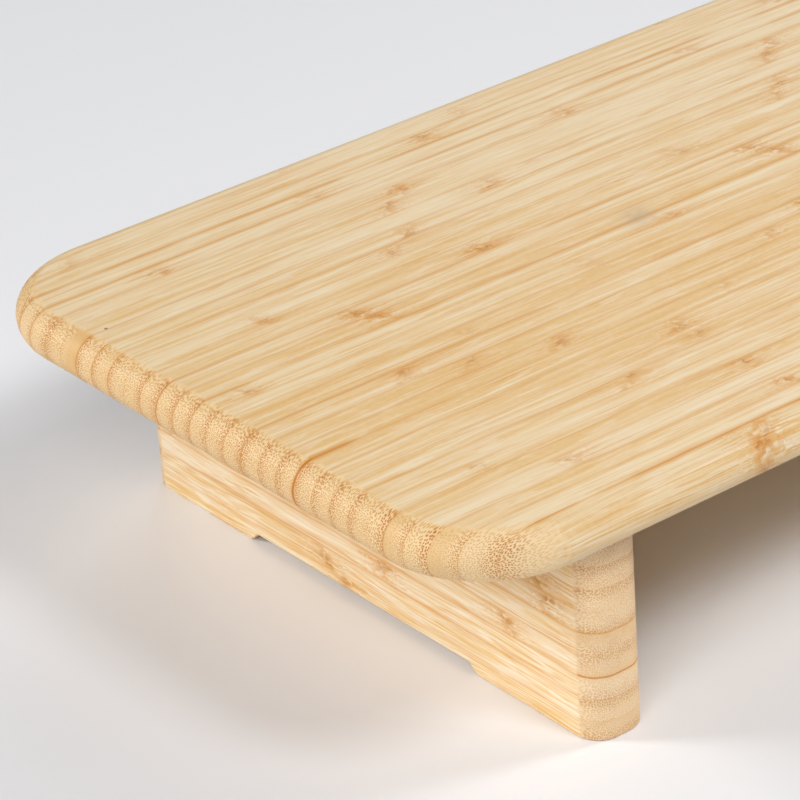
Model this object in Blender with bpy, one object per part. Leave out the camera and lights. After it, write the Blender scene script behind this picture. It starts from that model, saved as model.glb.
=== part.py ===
"""Raised bamboo cutting board: an edge-laminated board on two cross legs.

The board is a row of bamboo strips glued side by side and rounded all round. Each leg is a
panel of such strips laid as layers, and three hidden dowels hold it to the board. The glue
lines are left as thin gaps between neighbouring pieces.

Frame: +X runs along the board, +Y across it, +Z up. The origin is on the surface that the
board stands on, below the middle of the board. The left leg is the one at -X.
"""

import math

import bmesh
import bpy
from mathutils import Vector

MM = 0.001

# Board
board_length = 305.0 * MM
board_width = 178.0 * MM
board_thickness = 12.0 * MM
corner_radius = 28.0 * MM

# Lamination: from the back edge one broad strip, then even ones, then narrower ones in front
back_strip_width = 7.0 * MM
strip_pitch = 6.0 * MM
front_strip_width = 5.5 * MM
front_strip_count = 6
glue_gap = 0.3 * MM
half_gap = glue_gap / 2

# Legs
leg_height = 50.3 * MM
leg_thickness = 15.3 * MM
leg_length = 158.4 * MM
leg_corner_radius = 6.1 * MM
leg_inset = 37.8 * MM
bottom_layer_height = 4.9 * MM
layer_pitch = 5.3 * MM

# Relief under each leg, which leaves a foot at both ends
relief_height = 2.2 * MM
relief_length = 81.4 * MM
relief_ramp_length = 3.4 * MM

# Dowels, centred on three of the board's glue lines
dowel_radius = 4.0 * MM
dowel_depth_in_board = 8.0 * MM
dowel_depth_in_leg = 20.0 * MM
dowel_chamfer = 0.8 * MM
dowel_glue_lines = (6, 15, 24)

# Fineness of the curved faces, and the angle up to which neighbours shade as one
nose_steps = 8
board_corner_steps = 8
leg_corner_steps = 4
ramp_steps = 6
dowel_sides = 16
smooth_angle = math.radians(40)
cut_tolerance = 1e-7

# Looks
bamboo_colour = (0.74, 0.56, 0.33)
bamboo_roughness = 0.45
bamboo_tone_drift = 0.06
dowel_colour = (0.66, 0.50, 0.32)
dowel_roughness = 0.6
cutter_colour = (0.5, 0.5, 0.5)
cutter_roughness = 0.5

board_bottom = leg_height + glue_gap
board_top = board_bottom + board_thickness
front_width = front_strip_count * front_strip_width
even_strip_count = round((board_width - back_strip_width - front_width) / strip_pitch)
strip_count = 1 + even_strip_count + front_strip_count
leg_centre = board_length / 2 - leg_inset - leg_thickness / 2


def clear_scene():
    for old in list(bpy.data.objects):
        bpy.data.objects.remove(old, do_unlink=True)


def make_material(name, colour, roughness):
    material = bpy.data.materials.new(name)
    material.use_nodes = True
    shader = material.node_tree.nodes["Principled BSDF"]
    shader.inputs["Base Color"].default_value = (*colour, 1.0)
    shader.inputs["Roughness"].default_value = roughness
    shader.inputs["Metallic"].default_value = 0.0
    return material


def bamboo_material(name, number):
    """Pale bamboo whose tone drifts a little from strip to strip."""
    drift = math.sin(2.4 * number) + 0.5 * math.sin(5.1 * number)
    tone = 1.0 + bamboo_tone_drift * drift
    return make_material(name, [channel * tone for channel in bamboo_colour], bamboo_roughness)


def add_object(name, bm, material, parent, smooth=False):
    bmesh.ops.recalc_face_normals(bm, faces=bm.faces)
    mesh = bpy.data.meshes.new(name)
    bm.to_mesh(mesh)
    bm.free()
    if smooth:
        mesh.shade_smooth()
        mesh.set_sharp_from_angle(angle=smooth_angle)
    mesh.materials.append(material)
    piece = bpy.data.objects.new(name, mesh)
    bpy.context.collection.objects.link(piece)
    piece.parent = parent
    return piece


def add_group(name, location):
    group = bpy.data.objects.new(name, None)
    group.location = location
    bpy.context.collection.objects.link(group)
    return group


def rounded_rectangle(length, width, radius, corner_steps):
    """Plan outline with round corners, anticlockwise from the +X side."""
    points = []
    for corner in range(4):
        side_x = 1 if corner in (0, 3) else -1
        side_y = 1 if corner in (0, 1) else -1
        centre_x = side_x * (length / 2 - radius)
        centre_y = side_y * (width / 2 - radius)
        for step in range(corner_steps + 1):
            angle = math.radians(90 * (corner + step / corner_steps))
            points.append((centre_x + radius * math.cos(angle), centre_y + radius * math.sin(angle)))
    return points


def loft(rings):
    """Closed body through rings of points, all with the same number of points."""
    bm = bmesh.new()
    loops = []
    for ring in rings:
        loops.append([bm.verts.new(point) for point in ring])
    count = len(loops[0])
    for lower, upper in zip(loops, loops[1:]):
        for i in range(count):
            j = (i + 1) % count
            bm.faces.new((lower[i], lower[j], upper[j], upper[i]))
    bm.faces.new(reversed(loops[0]))
    bm.faces.new(loops[-1])
    return bm


def board_blank():
    """The whole board: a rounded rectangle with a half-round nose all the way round."""
    nose = board_thickness / 2
    rings = []
    for step in range(nose_steps + 1):
        angle = math.radians(-90 + 180 * step / nose_steps)
        inset = nose * (1 - math.cos(angle))
        z = board_bottom + nose * (1 + math.sin(angle))
        outline = rounded_rectangle(
            board_length - 2 * inset, board_width - 2 * inset, corner_radius - inset, board_corner_steps
        )
        rings.append([(x, y, z) for x, y in outline])
    return loft(rings)


def cut_away(bm, point, normal):
    """Remove what lies on the normal's side of a plane and close the cut with one flat face."""
    geometry = bm.verts[:] + bm.edges[:] + bm.faces[:]
    cut = bmesh.ops.bisect_plane(
        bm, geom=geometry, dist=cut_tolerance, plane_co=point, plane_no=normal, clear_outer=True
    )
    edges = [item for item in cut["geom_cut"] if isinstance(item, bmesh.types.BMEdge)]
    bmesh.ops.edgeloop_fill(bm, edges=edges)


def glue_line_y(number):
    """Glue line between two strips, counted from the back edge of the board."""
    even_strips = min(number - 1, even_strip_count)
    front_strips = number - 1 - even_strips
    across = back_strip_width + even_strips * strip_pitch + front_strips * front_strip_width
    return board_width / 2 - across


def make_strips(parent, cutters):
    """Strip 1 is at the back edge and the last one at the front."""
    for number in range(1, strip_count + 1):
        name = f"board_strip_{number:02d}"
        bm = board_blank()
        if number > 1:
            back = glue_line_y(number - 1) - half_gap
            cut_away(bm, Vector((0, back, 0)), Vector((0, 1, 0)))
        if number < strip_count:
            front = glue_line_y(number) + half_gap
            cut_away(bm, Vector((0, front, 0)), Vector((0, -1, 0)))
        strip = add_object(name, bm, bamboo_material(name, number), parent, smooth=True)
        for glue_line, cutter in cutters:
            if glue_line in (number - 1, number):
                drill(strip, cutter)


def smooth_step(t):
    return (1 - math.cos(math.pi * t)) / 2


def relief_cutter(name, parent):
    """Long shallow block with S-shaped ends, which hollows the underside of a leg."""
    half = relief_length / 2
    below = -relief_height
    edge = [(-half, below), (-half, 0)]
    for step in range(1, ramp_steps + 1):
        t = step / ramp_steps
        edge.append((-half + relief_ramp_length * t, relief_height * smooth_step(t)))
    outline = edge + [(-y, z) for y, z in reversed(edge)]
    depth = leg_thickness
    bm = loft([[(x, y, z) for y, z in outline] for x in (-depth, depth)])
    return add_cutter(name, bm, parent)


def add_cutter(name, bm, parent):
    """Helper body that only cuts others and is hidden from the model."""
    cutter = add_object(name, bm, make_material(name, cutter_colour, cutter_roughness), parent)
    cutter.hide_render = True
    cutter.display_type = "WIRE"
    return cutter


def drill(piece, cutter):
    boolean = piece.modifiers.new(cutter.name, "BOOLEAN")
    boolean.operation = "DIFFERENCE"
    boolean.solver = "EXACT"
    boolean.object = cutter


def cylinder(radius, low, high, chamfer=0.0):
    levels = [(low, radius - chamfer), (high, radius - chamfer)]
    if chamfer > 0:
        levels[1:1] = [(low + chamfer, radius), (high - chamfer, radius)]
    rings = []
    for z, ring_radius in levels:
        ring = []
        for side in range(dowel_sides):
            angle = 2 * math.pi * side / dowel_sides
            ring.append((ring_radius * math.cos(angle), ring_radius * math.sin(angle), z))
        rings.append(ring)
    return loft(rings)


def make_dowel_holes(side, parent):
    """Cutters for the blind holes that the dowels of one leg fill, paired with their glue lines."""
    holes = []
    for number, glue_line in enumerate(dowel_glue_lines, start=1):
        low = leg_height - dowel_depth_in_leg - glue_gap
        high = board_bottom + dowel_depth_in_board + glue_gap
        bm = cylinder(dowel_radius + glue_gap, low, high)
        cutter = add_cutter(f"{side}_dowel_hole_{number}", bm, parent)
        cutter.location.y = glue_line_y(glue_line)
        holes.append((glue_line, cutter))
    return holes


def make_dowels(side, parent):
    for number, glue_line in enumerate(dowel_glue_lines, start=1):
        name = f"{side}_leg_dowel_{number}"
        low = leg_height - dowel_depth_in_leg
        high = board_bottom + dowel_depth_in_board
        bm = cylinder(dowel_radius, low, high, dowel_chamfer)
        material = make_material(name, dowel_colour, dowel_roughness)
        dowel = add_object(name, bm, material, parent, smooth=True)
        dowel.location.y = glue_line_y(glue_line)


def layer_heights():
    """Bottom and top of each layer of a leg, from the floor up."""
    lines = [0.0]
    line = bottom_layer_height
    while line < leg_height:
        lines.append(line)
        line += layer_pitch
    lines.append(leg_height)
    heights = []
    for low, high in zip(lines, lines[1:]):
        floor_gap = 0.0 if low == 0.0 else half_gap
        top_gap = 0.0 if high == leg_height else half_gap
        heights.append((low + floor_gap, high - top_gap))
    return heights


def make_leg(side, parent, holes):
    outline = rounded_rectangle(leg_thickness, leg_length, leg_corner_radius, leg_corner_steps)
    relief = relief_cutter(f"{side}_relief", parent)
    for number, (low, high) in enumerate(layer_heights(), start=1):
        name = f"{side}_leg_layer_{number}"
        bm = loft([[(x, y, z) for x, y in outline] for z in (low, high)])
        layer = add_object(name, bm, bamboo_material(name, number), parent, smooth=True)
        if number == 1:
            drill(layer, relief)
        if high > leg_height - dowel_depth_in_leg:
            for _, cutter in holes:
                drill(layer, cutter)


clear_scene()
board = add_group("board", (0, 0, 0))
all_holes = []
for side, direction in (("left", -1), ("right", 1)):
    leg = add_group(f"{side}_leg", (direction * leg_centre, 0, 0))
    leg_holes = make_dowel_holes(side, leg)
    make_leg(side, leg, leg_holes)
    make_dowels(side, leg)
    all_holes += leg_holes
make_strips(board, all_holes)
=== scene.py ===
"""Looks of the raised bamboo cutting board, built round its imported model.

Every board strip and every leg layer gets a finely rounded piece of its own, with the bamboo's
grain drawn by one family of procedural materials. The dowels keep the model's shape and get a
plain hardwood.
"""

import math
import random
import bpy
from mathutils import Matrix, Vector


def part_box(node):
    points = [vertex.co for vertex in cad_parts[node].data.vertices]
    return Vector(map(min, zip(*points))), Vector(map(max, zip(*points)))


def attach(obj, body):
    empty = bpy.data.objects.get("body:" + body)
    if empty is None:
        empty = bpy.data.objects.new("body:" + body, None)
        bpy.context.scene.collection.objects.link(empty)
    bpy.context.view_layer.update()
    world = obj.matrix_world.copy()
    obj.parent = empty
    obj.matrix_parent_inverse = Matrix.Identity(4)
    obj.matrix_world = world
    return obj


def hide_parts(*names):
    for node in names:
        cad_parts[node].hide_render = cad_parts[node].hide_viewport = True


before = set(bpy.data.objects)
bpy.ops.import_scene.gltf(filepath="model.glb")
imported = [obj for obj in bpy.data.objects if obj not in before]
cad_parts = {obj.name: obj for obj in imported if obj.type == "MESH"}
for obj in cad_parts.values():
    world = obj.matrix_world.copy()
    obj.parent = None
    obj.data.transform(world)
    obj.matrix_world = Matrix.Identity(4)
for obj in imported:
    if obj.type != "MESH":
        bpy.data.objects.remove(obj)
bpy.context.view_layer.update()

from types import SimpleNamespace

import bmesh
import bpy
from mathutils import Matrix, Vector

MM = 0.001

# Shapes that the model's boxes don't give
board_corner_radius = 28.0 * MM
leg_corner_radius = 6.1 * MM
foot_edge_radius = 0.5 * MM
relief_height = 2.2 * MM
relief_length = 81.4 * MM
relief_ramp_length = 3.4 * MM
dowel_hole_play = 0.05 * MM

# Fineness
nose_steps = 32
board_corner_steps = 32
leg_corner_steps = 16
foot_edge_steps = 4
ramp_steps = 12
hole_sides = 48
cut_tolerance = 1e-7
nose_tolerance = 0.05 * MM
leg_smooth_angle = math.radians(35)

strip_count = sum(name.startswith("board_strip_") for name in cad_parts)
layer_count = sum(name.startswith("left_leg_layer_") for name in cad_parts)


# ---------------------------------------------------------------- shapes


def on_circle(centre, radius, angle):
    return centre[0] + radius * math.cos(angle), centre[1] + radius * math.sin(angle)


def rounded_outline(length, width, radius, corner_steps):
    """Plan outline with round corners, anticlockwise from the +X side."""
    points = []
    for corner in range(4):
        centre_x = (1 if corner in (0, 3) else -1) * (length / 2 - radius)
        centre_y = (1 if corner in (0, 1) else -1) * (width / 2 - radius)
        for step in range(corner_steps + 1):
            angle = math.radians(90 * (corner + step / corner_steps))
            points.append(on_circle((centre_x, centre_y), radius, angle))
    return points


def add_loops(bm, rings):
    """Skin between rings of points, which all have the same number of points."""
    loops = [[bm.verts.new(point) for point in ring] for ring in rings]
    for lower, upper in zip(loops, loops[1:]):
        for i in range(len(lower)):
            j = (i + 1) % len(lower)
            bm.faces.new((lower[i], lower[j], upper[j], upper[i]))
    return loops


def loft(rings):
    bm = bmesh.new()
    loops = add_loops(bm, rings)
    bm.faces.new(reversed(loops[0]))
    bm.faces.new(loops[-1])
    return bm


def cut_away(bm, point, normal):
    """Remove what lies on the normal's side of a plane and close the cut with one flat face."""
    geometry = bm.verts[:] + bm.edges[:] + bm.faces[:]
    cut = bmesh.ops.bisect_plane(
        bm, geom=geometry, dist=cut_tolerance, plane_co=point, plane_no=normal, clear_outer=True
    )
    edges = [item for item in cut["geom_cut"] if isinstance(item, bmesh.types.BMEdge)]
    bmesh.ops.edgeloop_fill(bm, edges=edges)


def cylinder(centre, radius, low, high):
    angles = [2 * math.pi * side / hole_sides for side in range(hole_sides)]
    return loft([[(*on_circle(centre, radius, angle), z) for angle in angles] for z in (low, high)])


def make_object(name, bm):
    bmesh.ops.recalc_face_normals(bm, faces=bm.faces)
    mesh = bpy.data.meshes.new(name)
    bm.to_mesh(mesh)
    bm.free()
    piece = bpy.data.objects.new(name, mesh)
    bpy.context.scene.collection.objects.link(piece)
    return piece


def apply_modifiers(piece):
    """Keep the evaluated shape and drop the modifiers that made it."""
    evaluated = piece.evaluated_get(bpy.context.evaluated_depsgraph_get())
    mesh = bpy.data.meshes.new_from_object(evaluated)
    piece.modifiers.clear()
    piece.data = mesh


def drill(piece, dowels):
    """Sink blind holes for the dowels that reach into this piece."""
    for dowel in dowels:
        low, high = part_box(dowel)
        radius = (high.x - low.x) / 2 + dowel_hole_play
        bit = make_object("drill_bit", cylinder((low + high) / 2, radius, low.z, high.z))
        boolean = piece.modifiers.new("hole", "BOOLEAN")
        boolean.operation = "DIFFERENCE"
        boolean.solver = "EXACT"
        boolean.object = bit
        apply_modifiers(piece)
        bpy.data.objects.remove(bit)


def dowels_in(node):
    """The dowels whose box overlaps this node's box."""
    low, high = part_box(node)
    found = []
    for name in sorted(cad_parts):
        if "_dowel_" in name:
            dowel_low, dowel_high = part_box(name)
            if all(dowel_low[i] < high[i] and dowel_high[i] > low[i] for i in range(3)):
                found.append(name)
    return found


# ---------------------------------------------------------------- what each strip looks like


def store(mesh, name, values):
    """Keep one vector per point on the mesh, for the materials to read."""
    attribute = mesh.attributes.new(name, "FLOAT_VECTOR", "POINT")
    attribute.data.foreach_set("vector", [number for value in values for number in value])


def store_figure(mesh, figure, from_high, from_low):
    """Write a strip's own traits, with tones that partly carry painted light and shade, and each point's
    distance from the strip's two glue lines.
    """
    count = len(mesh.vertices)
    store(mesh, "edges", list(zip(from_high, from_low, [figure["fineness"]] * count)))
    store(mesh, "figure", [(figure["seed"], figure["tone"], figure["dots"])] * count)
    knuckle = (figure["knuckle_at"], figure["internode"], figure["knuckle"])
    store(mesh, "knuckle", [knuckle] * count)
    ends = mesh.attributes.new("end_tone", "FLOAT", "POINT")
    ends.data.foreach_set("value", [figure["end_tone"]] * count)
    store(mesh, "glue_high", [figure["glue_high"]] * count)
    store(mesh, "glue_low", [figure["glue_low"]] * count)


def finish_piece(piece, body_node, material):
    piece.data.materials.clear()
    piece.data.materials.append(material)
    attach(piece, "root")
    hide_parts(body_node)


# ---------------------------------------------------------------- board


def board_node(number):
    return f"board_strip_{number:02d}"


board_boxes = [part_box(board_node(number)) for number in range(1, strip_count + 1)]
board_low = Vector([min(low[i] for low, high in board_boxes) for i in range(3)])
board_high = Vector([max(high[i] for low, high in board_boxes) for i in range(3)])
board_length = board_high.x - board_low.x
board_width = board_high.y - board_low.y
nose_radius = (board_high.z - board_low.z) / 2
board_middle_z = (board_high.z + board_low.z) / 2


def board_blank():
    """The whole board: a rounded rectangle with a half-round nose all the way round."""
    rings = []
    for step in range(nose_steps + 1):
        angle = math.radians(-90 + 180 * step / nose_steps)
        inset = nose_radius * (1 - math.cos(angle))
        outline = rounded_outline(
            board_length - 2 * inset,
            board_width - 2 * inset,
            board_corner_radius - inset,
            board_corner_steps,
        )
        z = board_middle_z + nose_radius * math.sin(angle)
        rings.append([(x, y, z) for x, y in outline])
    return loft(rings)


def nose_direction(point):
    """From the nose's centre line to a point: how far out and up, and the outward direction."""
    over_x = max(abs(point.x) - (board_length / 2 - board_corner_radius), 0)
    over_y = max(abs(point.y) - (board_width / 2 - board_corner_radius), 0)
    outward = Vector((math.copysign(over_x, point.x), math.copysign(over_y, point.y)))
    out = outward.length - (board_corner_radius - nose_radius)
    return out, point.z - board_middle_z, outward


def smooth_nose(mesh):
    """Exact normals on the rounded edge, and flat ones on the faces and cuts."""
    normals = [None] * len(mesh.loops)
    for face in mesh.polygons:
        out, up, _ = nose_direction(face.center)
        rounded = out > 0 and abs(math.hypot(out, up) - nose_radius) < nose_tolerance
        for index in face.loop_indices:
            normals[index] = face.normal.copy()
            if rounded:
                out, up, outward = nose_direction(mesh.vertices[mesh.loops[index].vertex_index].co)
                side = outward.normalized() * max(out, 0)
                normals[index] = Vector((side.x, side.y, up)).normalized()
    mesh.shade_smooth()
    mesh.normals_split_custom_set(normals)


def glue_line_between(number):
    """Y of the glue line between a strip and the one behind it; the board's edge for the first."""
    if number == 1:
        return board_high.y
    if number == strip_count + 1:
        return board_low.y
    return (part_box(board_node(number - 1))[0].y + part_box(board_node(number))[1].y) / 2


# Strength of the glue line in front of each strip on the board's faces, and at its left end
glue_lines = {
    1: 0.25, 2: 0.5, 3: 0.8, 4: 0.7, 5: 0.35, 6: 0.12, 7: 0.5, 8: 0.45, 9: 0.4, 10: 0.12,
    11: 0.3, 12: 0.65, 13: 0.45, 14: 0.8, 15: 0.2, 16: 0.4, 17: 0.75, 18: 0.4, 19: 0.5, 20: 0.4,
    21: 0.35, 22: 0.3, 23: 0.55, 24: 0.25, 25: 0.5, 26: 0.35, 27: 0.5, 28: 0.45, 29: 1.1,
}
end_lines = {
    3: 0.5, 4: 0.7, 7: 0.8, 8: 0.7, 9: 0.6, 11: 0.5, 12: 0.9, 13: 0.6, 14: 0.6, 16: 0.4, 17: 0.7,
    19: 0.45, 20: 2.2, 22: 0.4, 25: 0.6, 26: 0.4,
}
faint_end_line = 0.22
# Millimetres that an end's glue line runs in on the faces, and the one line stained further in
end_reach = 4.0
stained_line = 20
stained_reach = 20.0
# Millimetres from the left end to a strip's first knuckle, and the strength of its knuckles
knuckles = {
    1: (88, 0.4), 2: (21, 0.4), 3: (119, 0.8), 4: (82, 0.4), 5: (34, 0.6), 6: (98, 0.8),
    7: (91, 0.7), 8: (114, 0.6), 9: (85, 0.7), 10: (77, 0.6), 11: (37, 0.6), 12: (92, 1.0),
    13: (52, 0.9), 14: (55, 1.0), 15: (14, 0.6), 16: (103, 0.3), 17: (64, 0.3), 18: (43, 0.7), 19: (56, 0.6),
    20: (75, 0.8), 21: (118, 0.3), 22: (97, 0.8), 23: (98, 0.5), 24: (75, 0.8), 25: (28, 0.3),
    26: (96, 0.9), 27: (43, 0.5), 28: (97, 0.8), 29: (108, 0.4), 30: (79, 0.9),
}
# The strip with short internodes, strips whose dense side faces the front of the board, strips
# with few bundles and strips with coarse ones
internodes = {19: 86.0}
dense_in_front = (3, 4, 5, 11, 12, 13, 14, 15, 16, 17, 25, 26, 27, 28, 29)
few_dots = {7: 0.3, 9: 0.7, 26: 0.52, 28: 0.48}
fineness = {25: 0.9, 27: 0.9}
usual_fineness = 1.15
# How much paler than usual a strip is
tones = {
    1: 0.6, 2: 0.5, 3: 0.5, 4: 0.9, 5: 0.7, 6: 0.3, 7: 0.3, 8: 0.6, 9: 0.2, 10: 0.1, 11: 0.1,
    12: -0.2, 13: 0.1, 14: -0.1, 15: 0.1, 16: -0.1, 17: -0.3, 18: 0.0, 19: -0.5, 20: -0.6, 21: -0.5,
    22: -0.2, 23: -0.1, 24: 0.0, 25: 0.2, 26: -0.3, 27: 0.6, 28: -0.1, 29: 0.5, 30: 0.3,
}
# The same for ends that differ from their strip's faces; the paler ends of strips 28 to 30 at the
# near corner are partly painted light, for the stronger light that corner gets from the front left
end_tones = {7: 0.7, 26: 0.6, 27: 0.7, 28: 0.75, 29: 0.9, 30: 1.0}


def glue_trait(number):
    """How a glue line shows on the faces, at the end, and how far in from the end that holds."""
    on_faces = glue_lines.get(number, 0.0)
    at_end = end_lines.get(number, faint_end_line)
    return (on_faces, at_end, stained_reach if number == stained_line else end_reach)


def board_figure(number):
    draw = random.Random(number)
    knuckle_at, knuckle = knuckles[number]
    return {
        "seed": draw.uniform(0, 50),
        "tone": tones[number],
        "end_tone": end_tones.get(number, tones[number]),
        "dots": few_dots.get(number, draw.uniform(0.85, 1.1)),
        "fineness": fineness.get(number, usual_fineness),
        "knuckle_at": knuckle_at,
        "internode": internodes.get(number, draw.uniform(113, 120)),
        "knuckle": knuckle,
        "glue_high": glue_trait(number - 1),
        "glue_low": glue_trait(number),
    }


def make_board(material):
    for number in range(1, strip_count + 1):
        back, front = glue_line_between(number), glue_line_between(number + 1)
        bm = board_blank()
        if number > 1:
            cut_away(bm, Vector((0, back, 0)), Vector((0, 1, 0)))
        if number < strip_count:
            cut_away(bm, Vector((0, front, 0)), Vector((0, -1, 0)))
        piece = make_object(f"bamboo_strip_{number:02d}", bm)
        drill(piece, dowels_in(board_node(number)))
        mesh = piece.data
        smooth_nose(mesh)
        points = [vertex.co for vertex in mesh.vertices]
        along = [(p.x - board_low.x) / MM for p in points]
        from_back = [(back - p.y) / MM for p in points]
        from_front = [(p.y - front) / MM for p in points]
        radial = from_front if number in dense_in_front else from_back
        height = [(p.z - board_low.z) / MM for p in points]
        store(mesh, "grain", list(zip(along, radial, height)))
        store_figure(mesh, board_figure(number), from_back, from_front)
        finish_piece(piece, board_node(number), material)


# ---------------------------------------------------------------- legs


def relief_at(y):
    """Height of a leg's underside above the floor."""
    ramp = (relief_length / 2 - abs(y)) / relief_ramp_length
    ramp = min(max(ramp, 0.0), 1.0)
    return relief_height * (1 - math.cos(math.pi * ramp)) / 2


def leg_stations(width):
    """Places along a leg's long side: the ends of its straight run and the ramps of the relief."""
    reach = width / 2 - leg_corner_radius
    stations = [-reach]
    for side in (-1, 1):
        for step in range(ramp_steps + 1):
            share = step / ramp_steps if side > 0 else 1 - step / ramp_steps
            inner = relief_length / 2 - relief_ramp_length
            stations.append(side * (inner + relief_ramp_length * share))
    stations.append(reach)
    return stations


def leg_ring(thickness, width, inset, stations):
    """Outline of a leg, the same going up one side as coming down the other."""
    radius = leg_corner_radius - inset
    centre_x, centre_y = thickness / 2 - leg_corner_radius, width / 2 - leg_corner_radius
    side = []
    for step in range(leg_corner_steps):
        angle = math.radians(-90 + 90 * step / leg_corner_steps)
        side.append(on_circle((centre_x, -centre_y), radius, angle))
    side += [(thickness / 2 - inset, y) for y in stations]
    for step in range(1, leg_corner_steps + 1):
        angle = math.radians(90 * step / leg_corner_steps)
        side.append(on_circle((centre_x, centre_y), radius, angle))
    return side + [(-x, y) for x, y in reversed(side)]


def leg_blank(thickness, width, height):
    """The whole leg, with a relief below and softened lower edges."""
    stations = leg_stations(width)
    rings = []
    for step in range(foot_edge_steps + 1):
        angle = math.radians(90 * step / foot_edge_steps)
        inset = foot_edge_radius * (1 - math.sin(angle))
        lift = foot_edge_radius * (1 - math.cos(angle))
        ring = leg_ring(thickness, width, inset, stations)
        rings.append([(x, y, relief_at(y) + lift) for x, y in ring])
    outline = leg_ring(thickness, width, 0.0, stations)
    rings.append([(x, y, height) for x, y in outline])
    bm = bmesh.new()
    loops = add_loops(bm, rings)
    bm.faces.new(loops[-1])
    sole = loops[0]
    for i in range(len(sole) // 2 - 1):
        bm.faces.new((sole[i], sole[-1 - i], sole[-2 - i], sole[i + 1]))
    return bm


# Traits of the leg's layers from the floor up: strength of the glue line above a layer on the
# long sides and at the ends, tone (the top layers' darker tone is partly painted shade under the
# board's overhang), amount of dots, and millimetres from the front end of the leg to the first knuckle
leg_glue_faces = {1: 0.25, 2: 0.5, 3: 0.6, 4: 0.3, 5: 0.6, 6: 0.6, 7: 0.5, 8: 0.4, 9: 0.4}
leg_glue_ends = {3: 1.0, 5: 0.6}
leg_tones_and_painted_shade = {1: -0.3, 2: 0.3, 3: 0.8, 4: 0.3, 5: 0.4, 6: 0.3, 7: 0.2, 8: -0.6, 9: -0.3, 10: -0.3}
leg_dots = {1: 0.6, 2: 0.9, 3: 1.0, 4: 0.6, 5: 0.5, 6: 0.8, 7: 0.9, 8: 0.7, 9: 0.9, 10: 0.9}
leg_knuckles = {2: 91, 3: 70, 4: 28, 7: 18}
dense_on_top = (2, 4, 7, 8, 9)
faint_leg_end_line = 0.1
leg_fineness = 1.2
leg_seeds = {"left": 7, "right": 31}


def leg_glue(number):
    """The glue line above a layer; there is none below the first layer or above the last."""
    if number < 1 or number >= layer_count:
        return (0.0, 0.0, end_reach)
    return (leg_glue_faces[number], leg_glue_ends.get(number, faint_leg_end_line), end_reach)


def layer_node(side, number):
    return f"{side}_leg_layer_{number}"


def layer_figure(side, number):
    draw = random.Random(100 * number + leg_seeds[side])
    return {
        "seed": draw.uniform(60, 110),
        "tone": leg_tones_and_painted_shade[number],
        "end_tone": leg_tones_and_painted_shade[number],
        "dots": leg_dots[number],
        "fineness": leg_fineness,
        "knuckle_at": leg_knuckles.get(number, draw.uniform(20, 130)),
        "internode": draw.uniform(112, 125),
        "knuckle": draw.uniform(0.7, 1.0),
        "glue_high": leg_glue(number),
        "glue_low": leg_glue(number - 1),
    }


def make_leg(side, material):
    nodes = [layer_node(side, number) for number in range(1, layer_count + 1)]
    low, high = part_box(nodes[1])
    centre = (low + high) / 2
    thickness, width = high.x - low.x, high.y - low.y
    lines = [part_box(nodes[0])[0].z]
    for below, above in zip(nodes, nodes[1:]):
        lines.append((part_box(below)[1].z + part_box(above)[0].z) / 2)
    lines.append(board_low.z)
    for number, node in enumerate(nodes, start=1):
        bottom, top = lines[number - 1], lines[number]
        bm = leg_blank(thickness, width, board_low.z)
        if number > 1:
            cut_away(bm, Vector((0, 0, bottom)), Vector((0, 0, -1)))
        if number < layer_count:
            cut_away(bm, Vector((0, 0, top)), Vector((0, 0, 1)))
        bmesh.ops.translate(bm, verts=bm.verts, vec=(centre.x, centre.y, 0))
        piece = make_object(f"{side}_leg_lamella_{number}", bm)
        drill(piece, dowels_in(node))
        mesh = piece.data
        mesh.shade_smooth()
        mesh.set_sharp_from_angle(angle=leg_smooth_angle)
        points = [vertex.co for vertex in mesh.vertices]
        along = [(p.y - low.y) / MM for p in points]
        from_top = [(top - p.z) / MM for p in points]
        from_bottom = [(p.z - bottom) / MM for p in points]
        radial = from_top if number in dense_on_top else from_bottom
        across = [(p.x - centre.x) / MM for p in points]
        store(mesh, "grain", list(zip(along, radial, across)))
        store_figure(mesh, layer_figure(side, number), from_top, from_bottom)
        finish_piece(piece, node, material)
        weighted = piece.modifiers.new("even_normals", "WEIGHTED_NORMAL")
        weighted.keep_sharp = True


# ---------------------------------------------------------------- materials


def linear(red, green, blue):
    """A colour given as 0 to 255 per channel, as the shader wants it."""
    channels = []
    for channel in (red, green, blue):
        share = channel / 255
        channels.append(share / 12.92 if share <= 0.04045 else ((share + 0.055) / 1.055) ** 2.4)
    return (*channels, 1.0)


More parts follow.
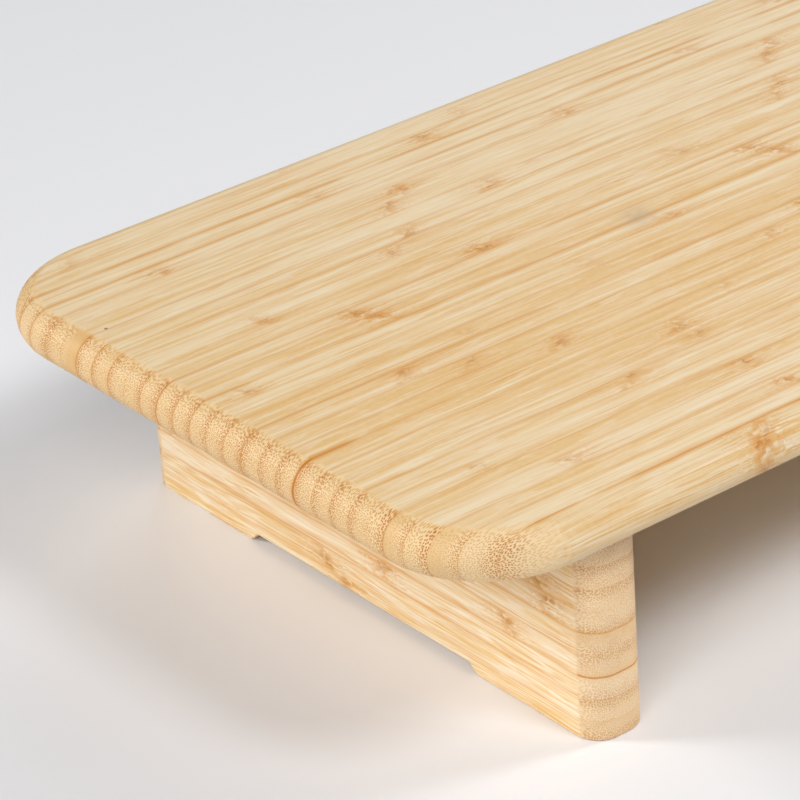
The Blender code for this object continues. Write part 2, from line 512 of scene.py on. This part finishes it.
class Tree:
    """Short words for building one material out of nodes."""

    def __init__(self, name):
        self.material = bpy.data.materials.new(name)
        self.material.use_nodes = True
        self.nodes = self.material.node_tree.nodes
        self.links = self.material.node_tree.links
        self.shader = self.nodes["Principled BSDF"]

    def feed(self, socket, value):
        if isinstance(value, bpy.types.NodeSocket):
            self.links.new(value, socket)
        else:
            socket.default_value = value

    def add(self, kind, inputs, output=0, **settings):
        node = self.nodes.new(kind)
        for name, value in settings.items():
            setattr(node, name, value)
        for socket, value in inputs.items():
            self.feed(node.inputs[socket], value)
        return node.outputs[output]

    def math(self, operation, *values):
        return self.add("ShaderNodeMath", dict(enumerate(values)), operation=operation)

    def sum(self, *values):
        total = values[0]
        for value in values[1:]:
            total = self.math("ADD", total, value)
        return total

    def times(self, *values):
        product = values[0]
        for value in values[1:]:
            product = self.math("MULTIPLY", product, value)
        return product

    def attribute(self, name):
        """The three numbers of a stored vector."""
        vector = self.add("ShaderNodeAttribute", {}, output=1, attribute_name=name)
        return self.split(vector)

    def split(self, vector):
        node = self.nodes.new("ShaderNodeSeparateXYZ")
        self.links.new(vector, node.inputs[0])
        return list(node.outputs)

    def vector(self, x, y, z):
        return self.add("ShaderNodeCombineXYZ", {0: x, 1: y, 2: z})

    def step(self, value, start, end):
        """0 before start, 1 after end, and smooth between; start may be the larger."""
        inputs = {"Value": value, "From Min": start, "From Max": end}
        return self.add("ShaderNodeMapRange", inputs, interpolation_type="SMOOTHSTEP")

    def bell(self, value, width):
        """1 where value is 0, falling away smoothly within width."""
        ratio = self.math("DIVIDE", value, width)
        square = self.math("MULTIPLY", ratio, ratio)
        return self.math("EXPONENT", self.math("MULTIPLY", square, -1.0))

    def noise(self, x, y, z, detail=2.0, roughness=0.5):
        """Smooth noise round 0.5, with one feature per unit of its coordinates."""
        inputs = {"Scale": 1.0, "Detail": detail, "Roughness": roughness}
        inputs["Vector"] = self.vector(x, y, z)
        return self.add("ShaderNodeTexNoise", inputs, noise_dimensions="3D")

    def mix(self, share, first, second):
        inputs = {0: share, 6: first, 7: second}
        return self.add("ShaderNodeMix", inputs, output=2, data_type="RGBA", clamp_factor=True)


def read_strip(t, grain_axis):
    """What the meshes say about each point, and how squarely the surface there cuts the grain.

    All lengths are millimetres.
    """
    b = SimpleNamespace()
    b.along, b.radial, b.across = t.attribute("grain")
    b.from_high, b.from_low, b.fineness = t.attribute("edges")
    b.seed, b.tone, b.dots = t.attribute("figure")
    b.knuckle_at, b.internode, b.knuckle = t.attribute("knuckle")
    b.end_tone = t.add("ShaderNodeAttribute", {}, output=2, attribute_name="end_tone")

    normals = t.split(t.add("ShaderNodeNewGeometry", {}, output=1))
    square_on = t.math("ABSOLUTE", normals[grain_axis])
    b.side_on = t.math("ABSOLUTE", normals[1 - grain_axis])
    b.ruffle = t.noise(t.times(b.along, 0.8), t.times(b.radial, 0.9), b.seed, 2.0)
    b.facing = t.sum(square_on, t.times(t.math("SUBTRACT", b.ruffle, 0.5), 0.14))
    b.end_grain = t.step(b.facing, 0.05, 0.25)
    return b


def place_bundles(t, b, look):
    """Bend the fibres round the knuckles and set out the bundles as cells across the grain."""
    half = t.times(b.internode, 0.5)
    from_first = t.math("SUBTRACT", b.along, b.knuckle_at)
    b.to_knuckle = t.math("WRAP", from_first, half, t.times(half, -1.0))
    ragged = t.noise(
        t.times(b.along, 0.4), t.times(b.radial, 0.6), t.sum(b.seed, t.times(b.across, 0.25))
    )
    b.ragged = t.math("SUBTRACT", ragged, 0.5)
    near_knuckle = t.times(t.bell(b.to_knuckle, 7.0), b.knuckle)
    bend = t.times(near_knuckle, b.ragged, 3.0)

    # Bundles wander slowly along the strip, so each one comes to a face only for a stretch
    slow, layer = t.times(b.along, 0.02), t.times(b.radial, 0.12)
    wander_u = t.math("SUBTRACT", t.noise(slow, b.seed, layer, 1.5), 0.5)
    wander_v = t.math("SUBTRACT", t.noise(slow, t.sum(b.seed, 9.0), layer, 1.5), 0.5)
    b.u = t.sum(b.radial, t.times(wander_u, look["wander"]), bend)
    b.v = t.sum(b.across, t.times(wander_v, 3.4), t.times(bend, 0.8), t.times(b.seed, 13.0))

    # They lie close together on the dense side and wide apart on the other
    spread = t.sum(t.times(t.math("MAXIMUM", b.u, -2.0), 0.11), 1.0)
    packed = t.math("LOGARITHM", spread, math.e)
    cell_u = t.sum(t.times(packed, b.fineness, 25.0), t.times(b.seed, 3.0))
    cell_v = t.times(b.v, b.fineness, 2.1)
    cells = {"Vector": t.vector(cell_u, cell_v, 0.0), "Scale": 1.0, "Randomness": 0.7}
    distance = t.add("ShaderNodeTexVoronoi", cells, voronoi_dimensions="2D")
    cell_draw = t.split(t.add("ShaderNodeTexVoronoi", cells, output=1, voronoi_dimensions="2D"))[0]
    b.dense = t.step(b.u, 3.4, 0.2)
    size = t.sum(t.times(b.dots, 0.07), t.times(b.dense, 0.09), 0.09)
    present = t.sum(b.dots, t.times(b.dense, 0.5))
    shown = t.step(cell_draw, t.math("SUBTRACT", 0.80, present), t.math("SUBTRACT", 1.0, present))
    disc = t.step(distance, t.sum(size, 0.12), t.math("SUBTRACT", size, 0.06))
    b.dot = t.times(disc, shown)
    ring = t.step(distance, t.sum(size, 0.06), t.sum(size, 0.26))
    b.gap = t.times(ring, t.step(present, 0.1, 0.9))


def along_colour(t, b, palette, look):
    """Faces cut along the grain: tone in bands, pale and golden fibres, streaks and bundles."""
    thin_u, thin_v = t.times(b.u, look["thin"]), t.times(b.v, look["thin"])
    b.fine = t.noise(t.times(b.along, 0.045), t.times(thin_u, 2.0), t.times(thin_v, 2.2), 2.5, 0.55)
    bands = t.noise(
        t.times(b.along, 0.014), t.sum(t.times(b.u, 0.55), b.seed), t.times(b.v, 0.3), 2.5, 0.6
    )
    streak_v = t.sum(t.times(thin_v, 1.2), b.seed)
    b.streaks = t.noise(t.times(b.along, 0.027), t.times(thin_u, 1.1), streak_v, 2.5, 0.6)
    b.patches = t.noise(t.times(b.along, 0.05), t.times(b.u, 0.25), b.seed, 2.0)
    blotches = t.noise(t.times(b.along, 0.09), t.times(b.u, 0.5), t.sum(b.seed, 5.0), 3.0)

    # A strip's tone lightens or darkens its faces; on the leg's top layers it is partly painted shade from
    # the board's overhang
    lightness = t.sum(bands, t.times(b.tone, look["tone"]))
    face = t.mix(t.step(lightness, 0.32, 0.68), palette["tan"], palette["cream"])
    face = t.mix(t.times(t.step(blotches, 0.54, 0.66), look["blotches"]), face, palette["pale"])
    fibres = t.sum(t.times(b.side_on, look["side_fibres"]), look["fibres"])
    face = t.mix(t.times(t.step(b.fine, 0.5, 0.72), fibres), face, palette["pale"])
    face = t.mix(t.times(t.step(b.fine, 0.5, 0.28), fibres), face, palette["streak"])
    streaked = t.times(t.sum(t.times(b.dense, 0.35), 0.4), t.step(b.patches, 0.34, 0.62))
    amount = t.times(streaked, look["streaks"])
    face = t.mix(t.times(t.step(b.streaks, 0.54, 0.72), amount), face, palette["streak"])
    lined = t.times(t.sum(t.times(b.dense, 0.32), 0.17), t.step(b.patches, 0.3, 0.7))
    return t.mix(t.times(b.dot, lined, look["streaks"]), face, palette["line"])


def across_colour(t, b, palette, look):
    """Faces cut across the grain: dots in a pale network on a darker, denser side."""
    mottle = t.noise(
        t.times(b.radial, 0.4), t.times(b.across, 0.3), t.sum(b.seed, t.times(b.along, 0.2)), 2.0
    )
    richness = t.sum(t.times(t.step(b.dots, 0.0, 0.9), 0.7), 0.15)
    darkness = t.sum(t.times(b.dense, richness), t.times(t.step(mottle, 0.42, 0.68), 0.4))
    # An end's tone moves its ground between darker and paler; at the front strips' ends near the corner this
    # is partly painted light, and on the leg's top layers partly painted shade
    darkness = t.sum(darkness, t.times(b.end_tone, -0.3))
    ground = t.mix(darkness, palette["end_ground"], palette["end_dense"])
    ground = t.mix(t.times(t.step(b.end_tone, 0.4, 1.4), 0.8), ground, palette["end_pale"])
    ground = t.mix(t.times(b.gap, look["network"]), ground, palette["end_pale"])
    darker = t.times(t.sum(t.times(b.dense, 0.55), 0.45), t.step(b.facing, 0.12, 0.42))
    return t.mix(t.times(b.dot, darker, look["dots"]), ground, palette["dot"])


def add_knuckles(t, b, colour, palette):
    """On the faces along the grain, a ragged band with a dark core and tails of streaks."""
    heart = t.sum(t.times(t.math("FRACT", t.times(b.seed, 7.3)), 3.6), 1.2)
    off_heart = t.math("SUBTRACT", b.radial, heart)
    off_knuckle = t.sum(b.to_knuckle, t.times(off_heart, 0.6), t.times(b.ragged, 8.0))
    core = t.times(t.bell(off_knuckle, 0.9), t.bell(off_heart, 1.5), t.step(b.fine, 0.35, 0.6), 0.8)
    band = t.times(t.bell(off_knuckle, 3.0), t.step(b.ragged, -0.12, 0.08), 0.7)
    tail = t.times(
        t.bell(b.to_knuckle, 8.0), t.bell(off_heart, 1.7), t.step(b.streaks, 0.40, 0.60), 0.8
    )
    strength = t.times(b.knuckle, t.math("SUBTRACT", 1.0, b.end_grain))
    colour = t.mix(t.times(t.sum(band, tail), strength), colour, palette["knuckle"])
    return t.mix(t.times(core, strength), colour, palette["core"])


def add_glue_lines(t, b, colour, palette):
    """Half of each line lies on each of the two strips that share it."""
    glue_noise = t.noise(t.times(b.along, 0.035), b.seed, t.times(b.across, 0.15), 2.0)
    glue_share = t.sum(t.times(t.step(glue_noise, 0.33, 0.55), 0.85), 0.15)
    for edge, trait, offset in ((b.from_high, "glue_high", 0.0), (b.from_low, "glue_low", 3.0)):
        on_faces, at_end, reach = t.attribute(trait)
        cut = t.math("MAXIMUM", t.step(b.along, reach, t.times(reach, 0.5)), b.end_grain)
        inside = t.times(on_faces, glue_share, t.math("SUBTRACT", 1.0, cut))
        strength = t.sum(inside, t.times(cut, at_end))
        wobble = t.noise(t.times(b.along, 0.08), t.sum(b.seed, offset), t.times(b.across, 0.5), 1.0)
        width = t.sum(0.06, t.times(strength, 0.14), t.times(wobble, 0.25))
        line = t.times(t.step(edge, width, t.times(width, 0.2)), t.math("MINIMUM", strength, 1.5))
        spread = t.step(edge, t.sum(0.5, t.times(wobble, 1.8)), 0.0)
        shade = t.times(spread, strength, t.sum(0.9, t.times(b.end_grain, -0.6)))
        colour = t.mix(shade, colour, palette["streak"])
        share = t.times(line, t.sum(t.times(b.end_grain, 0.35), 0.5))
        colour = t.mix(share, colour, palette["glue"])
    return colour


def bamboo(name, grain_axis, palette, look):
    """Bamboo strips: bundles show as dots on end grain and as fine streaks along the grain."""
    t = Tree(name)
    b = read_strip(t, grain_axis)
    place_bundles(t, b, look)
    along = along_colour(t, b, palette, look)
    across = across_colour(t, b, palette, look)
    colour = t.mix(b.end_grain, along, across)
    crest = t.times(t.bell(t.math("SUBTRACT", b.facing, 0.13), 0.10), t.step(b.ruffle, 0.35, 0.6))
    colour = t.mix(t.times(crest, look["crest"]), colour, palette["end_pale"])
    colour = add_knuckles(t, b, colour, palette)
    colour = add_glue_lines(t, b, colour, palette)
    colour = add_marks(t, colour)
    t.feed(t.shader.inputs["Base Color"], colour)

    gloss = t.sum(t.times(b.fine, 0.06), t.times(b.end_grain, 0.10), t.times(b.patches, 0.06), 0.42)
    t.feed(t.shader.inputs["Roughness"], gloss)
    height = t.sum(b.fine, t.times(b.dot, -0.5), t.times(b.streaks, 0.6))
    bump = t.add("ShaderNodeBump", {"Strength": 0.05, "Distance": 0.06 * MM, "Height": height})
    t.feed(t.shader.inputs["Normal"], bump)
    return t.material


# Marks of use, in millimetres: the middle of the smudge on the board, and the place and radius of
# a speck on the board and of one on the left leg's front end
smudge_place = (-26.0, 5.2)
specks = ((-143.6, 46.3, 62.6, 0.42), (-103.2, -79.2, 16.1, 0.3))


def add_marks(t, colour):
    """A faint grey smudge and two dark specks."""
    place = t.split(t.add("ShaderNodeTexCoord", {}, output=3))
    x, y, z = [t.times(part, 1 / MM) for part in place]
    smudge_x, smudge_y = t.sum(x, -smudge_place[0]), t.sum(y, -smudge_place[1])
    across_smudge = t.sum(t.times(smudge_x, 0.5), t.times(smudge_y, -0.87))
    along_smudge = t.sum(t.times(smudge_x, 0.87), t.times(smudge_y, 0.5))
    cloud = t.noise(t.times(x, 0.3), t.times(y, 0.4), 3.0, 3.0)
    smudge = t.times(t.bell(across_smudge, 3.6), t.bell(along_smudge, 4.6), t.step(z, 62.0, 62.4))
    smudge = t.times(smudge, t.step(cloud, 0.2, 0.5), 0.6)
    colour = t.mix(smudge, colour, linear(180, 153, 120))
    for *middle, radius in specks:
        squares = []
        for part, centre in zip((x, y, z), middle):
            squares.append(t.math("POWER", t.math("ABSOLUTE", t.sum(part, -centre)), 2.0))
        speck = t.step(t.math("SQRT", t.sum(*squares)), radius * 1.3, radius * 0.6)
        colour = t.mix(t.times(speck, 0.8), colour, linear(92, 70, 44))
    return colour


board_palette = {
    "tan": linear(219, 180, 117),
    "cream": linear(228, 206, 167),
    "pale": linear(234, 220, 196),
    "streak": linear(211, 154, 72),
    "line": linear(206, 141, 54),
    "knuckle": linear(210, 147, 64),
    "core": linear(172, 104, 36),
    "glue": linear(190, 116, 32),
    "end_ground": linear(215, 168, 98),
    "end_dense": linear(204, 140, 58),
    "end_pale": linear(237, 209, 164),
    "dot": linear(184, 112, 22),
}
board_look = {
    "thin": 1.0, "wander": 2.2, "tone": 0.2, "blotches": 0.3, "fibres": 0.28, "side_fibres": 0.55,
    "streaks": 1.15, "dots": 1.0, "network": 0.8, "crest": 0.4,
}

leg_palette = {
    "tan": linear(237, 199, 132),
    "cream": linear(244, 221, 182),
    "pale": linear(251, 241, 222),
    "streak": linear(226, 165, 76),
    "line": linear(212, 146, 54),
    "knuckle": linear(214, 152, 68),
    "core": linear(182, 114, 42),
    "glue": linear(196, 124, 42),
    "end_ground": linear(224, 186, 136),
    "end_dense": linear(206, 154, 94),
    "end_pale": linear(244, 222, 186),
    "dot": linear(190, 134, 74),
}
leg_look = {
    "thin": 1.35, "wander": 3.2, "tone": 0.15, "blotches": 0.5, "fibres": 0.85, "side_fibres": 0.0,
    "streaks": 1.25, "dots": 0.35, "network": 0.6, "crest": 0.2,
}


def dowel_wood():
    """Plain pale hardwood, its grain along the dowel."""
    t = Tree("dowel_wood")
    place = t.split(t.add("ShaderNodeTexCoord", {}, output=3))
    x, y, z = [t.times(part, 1 / MM) for part in place]
    grain = t.noise(t.times(x, 1.6), t.times(y, 1.6), t.times(z, 0.08), 3.0)
    pores = t.noise(t.times(x, 5.0), t.times(y, 5.0), t.times(z, 0.35), 2.0)
    colour = t.mix(t.step(grain, 0.35, 0.65), linear(206, 172, 128), linear(226, 198, 156))
    colour = t.mix(t.times(t.step(pores, 0.58, 0.7), 0.5), colour, linear(170, 130, 86))
    t.feed(t.shader.inputs["Base Color"], colour)
    t.feed(t.shader.inputs["Roughness"], t.sum(t.times(pores, 0.25), 0.5))
    bump = t.add("ShaderNodeBump", {"Strength": 0.3, "Distance": 0.05 * MM, "Height": pores})
    t.feed(t.shader.inputs["Normal"], bump)
    return t.material


def dress_dowels(material):
    for name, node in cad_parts.items():
        if "_dowel_" in name:
            node.data.materials.clear()
            node.data.materials.append(material)


# ---------------------------------------------------------------- stage, light and camera


floor_reach = 6.0


def make_floor():
    t = Tree("studio_floor")
    place = t.split(t.add("ShaderNodeTexCoord", {}, output=3))
    cloud = t.noise(t.times(place[0], 4.0), t.times(place[1], 4.0), 0.0, 2.0)
    colour = t.mix(cloud, linear(230, 230, 233), linear(234, 235, 238))
    t.feed(t.shader.inputs["Base Color"], colour)
    t.shader.inputs["Roughness"].default_value = 0.6
    bm = bmesh.new()
    corners = [(-1, -1), (1, -1), (1, 1), (-1, 1)]
    bm.faces.new([bm.verts.new((floor_reach * x, floor_reach * y, 0)) for x, y in corners])
    floor = make_object("studio_floor", bm)
    floor.data.materials.append(t.material)


def aim(thing, target):
    thing.rotation_euler = (Vector(target) - thing.location).to_track_quat("-Z", "Y").to_euler()


def add_area_light(name, location, target, size, power):
    light = bpy.data.lights.new(name, "AREA")
    light.shape = "DISK"
    light.size = size
    light.energy = power
    lamp = bpy.data.objects.new(name, light)
    lamp.location = location
    aim(lamp, target)
    bpy.context.scene.collection.objects.link(lamp)


# Soft lights round the object, each given by its direction in degrees anticlockwise from +X, its
# height in degrees above the floor, its width in metres and its power in watts
soft_lights = {
    "front_left": (225, 35, 0.7, 7.0),
    "left": (205, 28, 0.4, 3.8),
    "back_left": (140, 30, 0.4, 11.0),
    "back_right": (45, 35, 0.7, 3.4),
    "right": (340, 30, 0.4, 9.8),
    "front": (280, 50, 0.4, 7.0),
}
light_distance = 1.5
light_target = Vector((-0.05, 0.0, 0.02))
sky_strength = 0.02


def make_light():
    world = bpy.data.worlds.new("studio")
    world.use_nodes = True
    background = world.node_tree.nodes["Background"]
    background.inputs["Color"].default_value = (1.0, 1.0, 1.0, 1.0)
    background.inputs["Strength"].default_value = sky_strength
    bpy.context.scene.world = world
    for name, (azimuth, height, size, power) in soft_lights.items():
        turn, tilt = math.radians(azimuth), math.radians(height)
        level = math.cos(tilt)
        direction = Vector((level * math.cos(turn), level * math.sin(turn), math.sin(tilt)))
        add_area_light(name, light_target + light_distance * direction, light_target, size, power)
    bpy.context.scene.view_settings.view_transform = "Standard"


# Camera: its place in metres, its direction anticlockwise from +X, how far it looks down and how
# far it leans in degrees, and its lens in millimetres on a sensor 36 mm wide
camera_place = (-0.56195, -0.62206, 0.46116)
camera_yaw, camera_pitch, camera_roll = 53.40, 28.19, -4.08
focal_length = 182.44
sensor_width = 36.0
sight_limit = 50.0


def make_camera():
    """A long lens, looking down at the left end of the board from the front."""
    yaw, pitch, roll = [math.radians(turn) for turn in (camera_yaw, camera_pitch, camera_roll)]
    ahead = math.cos(pitch)
    forward = Vector((math.cos(yaw) * ahead, math.sin(yaw) * ahead, -math.sin(pitch)))
    level = Vector((math.sin(yaw), -math.cos(yaw), 0))
    above = level.cross(forward)
    right = level * math.cos(roll) + above * math.sin(roll)
    up = above * math.cos(roll) - level * math.sin(roll)
    lens = bpy.data.cameras.new("camera")
    lens.sensor_width = sensor_width
    lens.lens = focal_length
    lens.clip_end = sight_limit
    camera = bpy.data.objects.new("camera", lens)
    matrix = Matrix((right, up, -forward)).transposed().to_4x4()
    matrix.translation = camera_place
    camera.matrix_world = matrix
    bpy.context.scene.collection.objects.link(camera)
    bpy.context.scene.camera = camera


make_board(bamboo("board_bamboo", 0, board_palette, board_look))
leg_bamboo = bamboo("leg_bamboo", 1, leg_palette, leg_look)
for side in ("left", "right"):
    make_leg(side, leg_bamboo)
dress_dowels(dowel_wood())
make_floor()
make_light()
make_camera()
